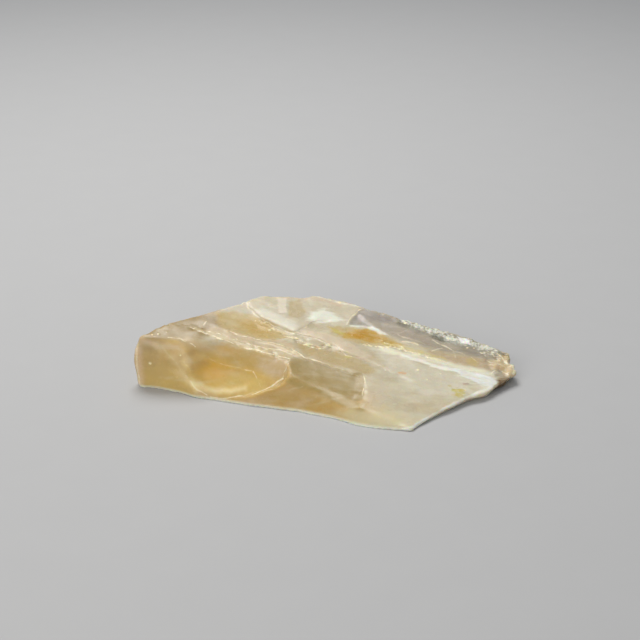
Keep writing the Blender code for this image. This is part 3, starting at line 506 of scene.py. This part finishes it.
def lineField(place, points):
    # distance to a line, its side in plan (+1 right), how far along it that is, and the line's length
    points = [np.array(point, dtype=float) for point in points]
    best = np.full(len(place), 1e9)
    side = np.ones(len(place))
    along = np.zeros(len(place))
    gone = 0.0
    for start, end in zip(points, points[1:]):
        way = end - start
        span = float(np.linalg.norm(way))
        away = place[:, :len(way)] - start
        t = np.clip(away @ way / (span * span), 0.0, 1.0)
        rest = away - t[:, None] * way
        far = np.linalg.norm(rest, axis=1)
        nearer = far < best
        turn = way[0] * rest[:, 1] - way[1] * rest[:, 0]
        best = np.where(nearer, far, best)
        side = np.where(nearer, np.where(turn < 0, 1.0, -1.0), side)
        along = np.where(nearer, gone + t * span, along)
        gone += span
    return best, side, along, gone


def areaField(place, outline):
    # distance outside an outline in plan, negative inside it
    far = lineField(place, outline + outline[:1])[0]
    x, y = place[:, 0], place[:, 1]
    inside = np.zeros(len(place), dtype=bool)
    for (ax, ay), (bx, by) in zip(outline, outline[1:] + outline[:1]):
        crosses = (ay > y) != (by > y)
        rise = by - ay if by != ay else 1e-9
        inside ^= crosses & (x < (bx - ax) * (y - ay) / rise + ax)
    return np.where(inside, -far, far)


def turned(place, degrees):
    # how far places lie along and across a direction in plan
    turn = math.radians(degrees)
    along = place[:, 0] * math.cos(turn) + place[:, 1] * math.sin(turn)
    across = place[:, 1] * math.cos(turn) - place[:, 0] * math.sin(turn)
    return along, across


def spotField(place, spot):
    return np.linalg.norm(place - np.array(spot), axis=1)


def patchField(place, turn, middle, size):
    # distance outside an oval, negative inside it
    away = place - np.array(middle)
    x, y = turned(away, turn)
    reach = np.sqrt((x / size[0]) ** 2 + (y / size[1]) ** 2 + (away[:, 2] / size[2]) ** 2)
    return (reach - 1.0) * min(size)


def cloud(place, kind):
    # soft noise of about -1 to 1
    size, octaves, shift, stretch = stone["clouds"][kind]
    along, across = turned(place, stone["layerTurn"])
    spots = np.stack([along / stretch, across, place[:, 2]], axis=1) / size + shift
    return np.array([noise.fractal(Vector(spot), *stone["cloudShape"], octaves) for spot in spots])


def wiggle(place):
    # the same places nudged by soft noise, so that a line drawn through them wavers
    noise.seed_set(stone["wiggleSeed"])
    nudge = np.array([noise.noise_vector(Vector(spot)) for spot in place / stone["wiggleSize"]])
    return place + nudge * stone["wiggle"]


def grains(place, size, shift):
    # separate rounded grains, 1 at a grain's top and 0 between grains
    nearest = np.array([noise.voronoi(Vector(spot))[0][0] for spot in place / size + shift])
    return 1.0 - ease(*stone["grainFade"], nearest)


def bumps(far, halfWidth):
    return np.exp(-(far / halfWidth) ** 2)


def readSkin(piece):
    found = []
    for kind in ("co", "normal"):
        values = np.empty(len(piece.data.vertices) * 3)
        piece.data.vertices.foreach_get(kind, values)
        found.append(values.reshape(-1, 3))
    return found[0] / mm, found[1]


def keepFields(piece, **fields):
    for name, values in fields.items():
        made = piece.data.attributes.new(name, "FLOAT", "POINT")
        made.data.foreach_set("value", values)


def selectOnly(piece):
    bpy.ops.object.select_all(action="DESELECT")
    piece.select_set(True)
    bpy.context.view_layer.objects.active = piece


def soften(piece, rounds, group=""):
    smooth = piece.modifiers.new("soften", "SMOOTH")
    smooth.factor = 0.5
    smooth.iterations = rounds
    smooth.vertex_group = group
    bpy.ops.object.modifier_apply(modifier=smooth.name)


def cleanCopy(nodeName, newName):
    # the frame's mesh is loose triangles, so its copy is merged before anything else
    piece = bpy.data.objects.new(newName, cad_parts[nodeName].data.copy())
    piece.data.name = newName
    piece.data.materials.clear()
    bpy.context.scene.collection.objects.link(piece)
    selectOnly(piece)
    bpy.ops.object.mode_set(mode="EDIT")
    bpy.ops.mesh.select_all(action="SELECT")
    bpy.ops.mesh.remove_doubles(threshold=stone["weld"] * mm)
    bpy.ops.object.mode_set(mode="OBJECT")
    return piece


def evenSkin(piece):
    # small even squares all over, then a light smoothing that takes the flat facets away
    remesh = piece.modifiers.new("evenSkin", "REMESH")
    remesh.mode = "VOXEL"
    remesh.voxel_size = stone["voxel"] * mm
    bpy.ops.object.modifier_apply(modifier=remesh.name)
    soften(piece, stone["softening"])


def rollOver(piece):
    place = readSkin(piece)[0]
    softness = np.zeros(len(place))
    for halfWidth, strength, *points in stone["rollovers"]:
        near = 1.0 - ease(*stone["rollFade"], lineField(place, points)[0] / halfWidth)
        softness = np.maximum(softness, strength * near)
    softness *= ease(*stone["rollHeight"], place[:, 2])
    group = piece.vertex_groups.new(name="rollovers")
    for index in np.nonzero(softness > stone["rollLeast"])[0]:
        group.add([int(index)], float(softness[index]), "REPLACE")
    soften(piece, stone["rolling"], group.name)
    piece.vertex_groups.clear()


def facing(normal):
    # 1 where the surface faces as the upper face does
    rise = stone["faceRise"]
    up = np.array([-rise[0], -rise[1], 1.0])
    return ease(*stone["faceTurn"], normal @ (up / np.linalg.norm(up)))


def crustField(place):
    # distance outside the crust
    squash = np.array([1.0, 1.0, stone["crustSquash"]])
    far = lineField(place * squash, [np.array(point) * squash for point in stone["backEdge"]])[0]
    ends = sum(ease(start, end, place[:, 0]) * drawnIn for start, end, drawnIn in stone["crustEnds"])
    return far - stone["crustWidth"] + ends


def refineDetail(piece):
    # the skin is divided once more along the lines, the crumbly edges and the crust
    place = wiggle(readSkin(piece)[0])
    reach = stone["fine"]
    near = crustField(place) < reach["crust"]
    for halfWidth, share, yellow, *points in stone["crumbly"]:
        near |= lineField(place, points)[0] < halfWidth + reach["crumbly"]
    for halfWidth, rise, light, breaks, *points in stone["lines"].values():
        near |= lineField(place, points)[0] < reach["lines"]
    near &= place[:, 2] > reach["height"]
    selectOnly(piece)
    bpy.ops.object.mode_set(mode="EDIT")
    bpy.ops.mesh.select_all(action="DESELECT")
    bpy.ops.mesh.select_mode(type="FACE")
    bpy.ops.object.mode_set(mode="OBJECT")
    for face in piece.data.polygons:
        face.select = all(near[index] for index in face.vertices)
    bpy.ops.object.mode_set(mode="EDIT")
    bpy.ops.mesh.subdivide(number_cuts=1, quadcorner="STRAIGHT_CUT")
    bpy.ops.object.mode_set(mode="OBJECT")


def carveSlice(piece):
    place, normal = readSkin(piece)
    drawn = wiggle(place)
    top = facing(normal)
    lift = np.zeros(len(place))

    spread = stone["ledgeEdge"]
    for points in stone["ledges"]:
        far, side, along, length = lineField(drawn, points)
        signed = far * side
        ends = ease(*stone["ledgeEnds"], np.minimum(along, length - along))
        step = ease(-spread, spread, signed) * np.exp(-np.clip(signed, 0, None) / stone["ledgeFade"])
        lift -= stone["ledgeBite"] * step * ends * top

    # thin flakes that run along the layers, standing up between crumbled strips
    strands = 1.0 - np.clip(np.abs(cloud(place, "strands")) * stone["strandSharpness"], 0.0, 1.0)
    crumbs = ease(*stone["crumbRange"], cloud(place, "crumbs"))
    crumbly = np.zeros(len(place))
    yellowness = np.zeros(len(place))
    for halfWidth, share, yellow, *points in stone["crumbly"]:
        here = (1.0 - ease(*stone["crumblyFade"], lineField(drawn, points)[0] / halfWidth)) * share
        yellowness = np.where(here > crumbly, yellow, yellowness)
        crumbly = np.maximum(crumbly, here)
    gap, crumb, level = stone["strandMix"]
    lift -= stone["strandDepth"] * crumbly * (gap * (1.0 - strands) + crumb * crumbs - level)

    uneven = ease(*stone["lineRange"], cloud(place, "lineHeight"))
    for halfWidth, rise, light, breaks, *points in stone["lines"].values():
        lift += rise * uneven * bumps(lineField(drawn, points)[0], halfWidth)
    for *spot, halfWidth in stone["flecks"]:
        lift += stone["fleckHeight"] * bumps(spotField(place, spot), halfWidth)

    fromCrust = crustField(place) + cloud(place, "crustBorder") * stone["crustWander"]
    crust = 1.0 - ease(*stone["crustFade"], fromCrust)
    grain = sum(grains(place, size, shift) * share for size, shift, share in stone["crustGrains"])
    backWall = ease(*stone["backTurn"], normal[:, 1]) * (1.0 - ease(*stone["levelTurn"], normal[:, 2]))
    lift += stone["wallRoughness"] * backWall * cloud(place, "backWall")
    lift += stone["crustDepth"] * crust * (grain - stone["grainLevel"])
    lift += stone["waveHeight"] * cloud(place, "waves")
    lift += stone["hackleHeight"] * cloud(place, "hackle")

    # the sawn face stays flat
    place = place + normal * (lift * ease(*stone["sawnMargin"], place[:, 2]))[:, None]
    place[:, 2] = np.where(place[:, 2] < stone["sawnKeep"], 0.0, place[:, 2])
    piece.data.vertices.foreach_set("co", (place * mm).ravel())
    piece.data.update()
    keepFields(piece, strands=strands * crumbly, yellowness=yellowness, crust=crust,
               crustEdge=ease(*stone["crustEdge"], fromCrust), grains=grain, backWall=backWall)


def edgeFields(piece):
    # how sharply the skin turns, which the finish uses to paint a highlight on outer edges and painted shade
    # in inner corners
    place, normal = readSkin(piece)
    ends = np.empty(len(piece.data.edges) * 2, dtype=int)
    piece.data.edges.foreach_get("vertices", ends)
    one, two = ends.reshape(-1, 2).T
    pairs = ((one, two), (two, one))
    count = np.zeros(len(place))
    middle = np.zeros_like(place)
    spacing = np.zeros(len(place))
    length = np.linalg.norm(place[one] - place[two], axis=1)
    for here, there in pairs:
        np.add.at(count, here, 1)
        np.add.at(middle, here, place[there])
        np.add.at(spacing, here, length)
    middle /= count[:, None]
    spacing /= count
    turn = ((place - middle) * normal).sum(axis=1) / spacing ** 2
    for step in range(2):  # averaged with its neighbours
        nearby = np.zeros(len(place))
        for here, there in pairs:
            np.add.at(nearby, here, turn[there])
        turn = 0.5 * turn + 0.5 * nearby / count
    # kept for the painted highlight on outer edges and the painted shade in inner corners
    keepFields(piece, ridge=ease(*stone["ridgeTurn"], turn), hollow=ease(*stone["hollowTurn"], -turn))


def paintFields(piece):
    # every marking is kept as a distance in mm outside its border, which the finish turns into colour
    place, normal = readSkin(piece)
    drawn = wiggle(place)
    farthest = stone["farthest"]
    offTop = (1.0 - facing(normal)) * stone["offTop"]
    for name, (kind, colour, soft, wander, strength, broken, *shape) in stone["markings"].items():
        if "area" in kind:
            field = areaField(drawn, shape) + offTop
        elif "band" in kind:
            field = lineField(drawn, shape[1:])[0] - shape[0]
        else:
            field = patchField(place, *shape)
        keepFields(piece, **{name: np.clip(field, -farthest, farthest)})
    for name, (halfWidth, rise, light, breaks, *points) in stone["lines"].items():
        keepFields(piece, **{name: np.clip(lineField(drawn, points)[0], 0.0, farthest)})
    flecks = np.full(len(place), farthest)
    for *spot, halfWidth in stone["flecks"]:
        flecks = np.minimum(flecks, spotField(place, spot) - halfWidth)
    sawn = ease(*stone["sawnTurn"], -normal[:, 2])
    # painted glow along the lowest edge of the walls, stopping short of the tip
    foot = ease(*stone["footHeight"], place[:, 2]) * ease(*stone["footEnd"], place[:, 0]) * (1.0 - sawn)
    wall = (1.0 - ease(*stone["levelTurn"], normal[:, 2])) * (1.0 - sawn)
    keepFields(piece, flecks=flecks, sawn=sawn, foot=foot, wall=wall)


def addNode(tree, kind, **settings):
    node = tree.nodes.new(kind)
    count = len(tree.nodes)
    node.location = (-3000 + count % 14 * 190, 900 - count // 14 * 240)
    for key, value in settings.items():
        setattr(node, key, value)
    return node


def plug(tree, value, socket):
    # a socket is wired, a colour or number is set
    if isinstance(value, bpy.types.NodeSocket):
        tree.links.new(value, socket)
    elif isinstance(value, tuple) and len(value) == 3 and socket.type == "RGBA":
        socket.default_value = (*value, 1.0)
    else:
        socket.default_value = value


def plugAll(tree, node, settings):
    for key, value in settings.items():
        plug(tree, value, node.inputs[key])


def combine(tree, operation, *values):
    node = addNode(tree, "ShaderNodeMath", operation=operation)
    plugAll(tree, node, dict(enumerate(values)))
    return node.outputs[0]


def remap(tree, value, low, high, toLow=0.0, toHigh=1.0):
    node = addNode(tree, "ShaderNodeMapRange", interpolation_type="SMOOTHSTEP")
    plugAll(tree, node, dict(enumerate((value, low, high, toLow, toHigh))))
    return node.outputs[0]


def mixColour(tree, amount, under, over):
    node = addNode(tree, "ShaderNodeMix", data_type="RGBA")
    plugAll(tree, node, {0: amount, 6: under, 7: over})  # its factor and its two colours
    return node.outputs[2]


def cloudNode(tree, place, size, detail, rough, distort, *spread):
    node = addNode(tree, "ShaderNodeTexNoise")
    plugAll(tree, node, {"Vector": place, "Scale": 1.0 / (size * mm), "Detail": detail, "Roughness": rough,
                         "Distortion": distort})
    return remap(tree, node.outputs["Fac"], *spread) if spread else node.outputs["Fac"]


def makeMilkyStone():
    material = bpy.data.materials.new("milkyStone")
    material.use_nodes = True
    tree = material.node_tree
    surface = tree.nodes["Principled BSDF"]
    ranges = stone["ranges"]
    shares = stone["shares"]

    def field(name):
        return addNode(tree, "ShaderNodeAttribute", attribute_name=name).outputs["Fac"]

    def texture(kind, where):
        return cloudNode(tree, where, *stone["noise"][kind])

    def times(first, second):
        return combine(tree, "MULTIPLY", first, second)

    def timesAdd(first, second, third):
        return combine(tree, "MULTIPLY_ADD", first, second, third)

    def swing(value, gain):
        # noise of about 0 to 1 made to swing about 0
        return timesAdd(value, gain, -gain / 2)

    def drawnOut(kind):
        # places turned to run along the layers and drawn out along them
        turn = -math.radians(stone["layerTurn"])
        node = addNode(tree, "ShaderNodeMapping")
        scale = stone["drawnOut"][kind]
        plugAll(tree, node, {"Vector": place, "Rotation": (0.0, 0.0, turn), "Scale": scale})
        return node.outputs[0]

    def cover(name, under, over):
        return mixColour(tree, times(field(name), shares[name]), under, over)

    # shared noise: two sizes that push borders about, grain and fine nicks, streaks, and soft clouds
    place = addNode(tree, "ShaderNodeTexCoord").outputs["Object"]
    layers = drawnOut("layers")
    broad = texture("broad", layers)
    fine = texture("fine", layers)
    grain = texture("grain", layers)
    nick = texture("nick", place)
    stray = combine(tree, "ADD", swing(broad, stone["borderGain"]), swing(fine, stone["borderGain"]))
    streaked = drawnOut("streaks")
    strayStreaks = swing(texture("streaks", streaked), stone["streakGain"])
    mix = stone["grainyMix"]
    grainy = remap(tree, timesAdd(nick, mix["nick"], times(grain, mix["grain"])), *ranges["grainy"])
    softly = texture("softly", layers)

    def paint(under, overCrust):
        # the markings one after another, either those that the crust covers or those that lie on it
        for name, (kind, shade, soft, wander, strength, broken, *shape) in stone["markings"].items():
            if ("over" in kind) == overCrust:
                edge = timesAdd(strayStreaks if "streaky" in kind else stray, wander, field(name))
                amount = remap(tree, edge, -soft / 2, soft / 2, strength, 0.0)
                gaps = timesAdd(grainy if broken > stone["grainyFrom"] else softly, broken, 1.0 - broken)
                under = mixColour(tree, times(amount, gaps), under, shade)
        return under

    # ground: cream with paler clouds drawn out along the layers, the markings, and wisps of milk
    colour = mixColour(tree, texture("depth", layers), stone["ground"], stone["groundPale"])
    colour = paint(colour, False)
    colour = mixColour(tree, texture("wisps", layers), colour, stone["wisp"])

    # the weathered back wall has soft beds of honey and cream, and the sawn face cuts the layers lengthwise
    beds = mixColour(tree, texture("beds", drawnOut("beds")), stone["bedHoney"], stone["bedCream"])
    colour = cover("backWall", colour, beds)
    bands = mixColour(tree, texture("sawnBands", streaked), stone["bedHoney"], stone["bedCream"])
    colour = cover("sawn", colour, bands)

    # crust: white along the back edge, with grey and green gaps away from it
    crust = field("crust")
    patchy = texture("patchy", layers)
    speckled = texture("speckled", place)
    mix = stone["whiteMix"]
    raised = field("grains")
    white = times(field("crustEdge"), mix["crustEdge"])
    for value, name in ((speckled, "speckled"), (patchy, "patchy"), (raised, "grains")):
        white = timesAdd(value, mix[name], white)
    white = remap(tree, white, *ranges["white"])
    gaps = mixColour(tree, field("wall"), stone["crustDark"], stone["crustShade"])
    crumbs = mixColour(tree, white, gaps, stone["crustWhite"])
    colour = mixColour(tree, times(crust, shares["crust"]), colour, crumbs)
    colour = paint(colour, True)

    # painted shade in inner corners, a painted highlight on outer edges, a painted glow along the lowest
    # edges, flaky strands, single lines and flecks
    colour = cover("hollow", colour, stone["hollowDark"])
    # painted highlight on outer edges, stronger where the skin turns sharply
    ridge = times(field("ridge"), remap(tree, grain, *ranges["ridge"]))
    colour = mixColour(tree, ridge, colour, stone["paintedRidgeHighlight"])
    # painted glow along the lowest edge of the walls
    colour = cover("foot", colour, stone["footRim"])
    strand = times(remap(tree, field("strands"), *ranges["strand"]),
                   remap(tree, nick, *ranges["strandNick"]))
    flake = mixColour(tree, field("yellowness"), stone["flakeLight"], stone["crumbLight"])
    colour = mixColour(tree, strand, colour, flake)
    inner, outer = stone["lineFade"]
    for name, (halfWidth, rise, light, breaks, *points) in stone["lines"].items():
        near = remap(tree, field(name), halfWidth * inner, halfWidth * outer, abs(light), 0.0)
        gaps = grain if breaks > stone["dashedFrom"] else nick
        dashes = remap(tree, gaps, *ranges["dashes"], 1.0 - breaks)
        shade = stone["lineLight"] if light > 0 else stone["lineDark"]
        colour = mixColour(tree, times(near, dashes), colour, shade)
    fleck = remap(tree, timesAdd(nick, stone["fleckRagged"], field("flecks")), *ranges["fleck"])
    colour = mixColour(tree, fleck, colour, stone["crumbLight"])

    # finish: waxy, duller on the crust and the sawn face, bright on fresh flakes
    dull, shiny, sawnDull = ((value,) * 3 for value in stone["roughness"].values())
    rough = texture("dull", place)
    rough = mixColour(tree, times(crust, shares["crustDull"]), rough, dull)
    rough = mixColour(tree, times(strand, shares["flakeShine"]), rough, shiny)
    rough = mixColour(tree, field("sawn"), rough, sawnDull)

    # skin: fine hackle, tiny pits, and the saw's marks underneath
    mix = stone["skinMix"]
    skin = timesAdd(texture("hackle", layers), mix["hackle"], times(nick, mix["nick"]))
    saw = addNode(tree, "ShaderNodeTexWave", wave_type="BANDS", bands_direction="X")
    plugAll(tree, saw, {"Vector": place, **stone["saw"]})
    skin = timesAdd(times(field("sawn"), saw.outputs["Fac"]), mix["saw"], skin)
    bump = addNode(tree, "ShaderNodeBump")
    plugAll(tree, bump, {"Height": skin, **stone["bump"]})

    surface.subsurface_method = "RANDOM_WALK"
    plugAll(tree, surface, {"Base Color": colour, "Roughness": rough, "Normal": bump.outputs[0],
                            "IOR": stone["refraction"], "Specular IOR Level": stone["gloss"],
                            "Subsurface Weight": stone["scatterShare"],
                            "Subsurface Radius": stone["scatterColour"],
                            "Subsurface Scale": stone["scatterDepth"]})
    print("slice:", len(tree.nodes), "nodes in its finish")
    return material


def buildSlice():
    piece = cleanCopy("slice", "stoneSlice")
    evenSkin(piece)
    rollOver(piece)
    refineDetail(piece)
    print("slice: skin of", sum(len(face.vertices) - 2 for face in piece.data.polygons), "triangles")
    carveSlice(piece)
    edgeFields(piece)
    print("slice: ledges, flakes and crust carved")
    paintFields(piece)
    print("slice:", len(stone["markings"]), "markings and", len(stone["lines"]), "lines laid out")
    piece.data.materials.append(makeMilkyStone())
    piece.data.shade_smooth()
    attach(piece, "root")
    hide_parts("slice")


studio = {
    "floorSize": 1.6,
    "floorColour": (0.50, 0.50, 0.50),
    "floorShade": 0.97,  # how much darker its clouds are
    "floorClouds": (6.0, 3.0, 0.55, 0.0),  # size in mm, detail, roughness, distortion
    "floorRoughness": 0.85,
    "skyColour": (0.90, 0.94, 1.0),
    "skyStrength": 0.30,
    "lamps": [  # name, place in m, size in m, watts, colour
        ("overhead", (-0.05, 0.12, 0.26), 0.16, 0.62, (1.0, 0.985, 0.96)),
        ("frontFill", (-0.16, -0.26, 0.13), 0.20, 0.48, (1.0, 0.97, 0.93)),
    ],
}


def buildStudio():
    bpy.ops.mesh.primitive_plane_add(size=studio["floorSize"], location=(0, 0, 0))
    floor = bpy.context.active_object
    floor.name = "floor"
    material = bpy.data.materials.new("paleFloor")
    material.use_nodes = True
    tree = material.node_tree
    place = addNode(tree, "ShaderNodeTexCoord").outputs["Object"]
    darker = tuple(part * studio["floorShade"] for part in studio["floorColour"])
    clouds = cloudNode(tree, place, *studio["floorClouds"])
    plugAll(tree, tree.nodes["Principled BSDF"],
            {"Base Color": mixColour(tree, clouds, darker, studio["floorColour"]),
             "Roughness": studio["floorRoughness"]})
    floor.data.materials.append(material)

    world = bpy.data.worlds.new("softRoom")
    world.use_nodes = True
    plugAll(world.node_tree, world.node_tree.nodes["Background"],
            {"Color": studio["skyColour"], "Strength": studio["skyStrength"]})
    bpy.context.scene.world = world

    for name, place, size, watts, tint in studio["lamps"]:
        light = bpy.data.lights.new(name, "AREA")
        light.shape = "SQUARE"
        light.size = size
        light.energy = watts
        light.color = tint
        lamp = bpy.data.objects.new(name, light)
        lamp.location = place
        lamp.rotation_euler = Vector(place).to_track_quat("Z", "Y").to_euler()
        bpy.context.scene.collection.objects.link(lamp)
    print("studio: floor, sky and", len(studio["lamps"]), "lamps")


camera = {
    "place": (-0.00072, -0.190134, 0.094109),  # m
    "lookDown": 24.0,  # degrees
    "lens": 90.0,
    "sensor": 36.0,
    "nearest": 0.005,  # m
}


def buildCamera():
    eye = bpy.data.cameras.new("camera")
    eye.lens = camera["lens"]
    eye.sensor_width = camera["sensor"]
    eye.clip_start = camera["nearest"]
    stand = bpy.data.objects.new("camera", eye)
    stand.location = camera["place"]
    stand.rotation_euler = (math.radians(90.0 - camera["lookDown"]), 0.0, 0.0)
    bpy.context.scene.collection.objects.link(stand)
    bpy.context.scene.camera = stand
    bpy.context.scene.view_settings.view_transform = "Standard"
    print("camera: set")


buildSlice()
buildStudio()
buildCamera()
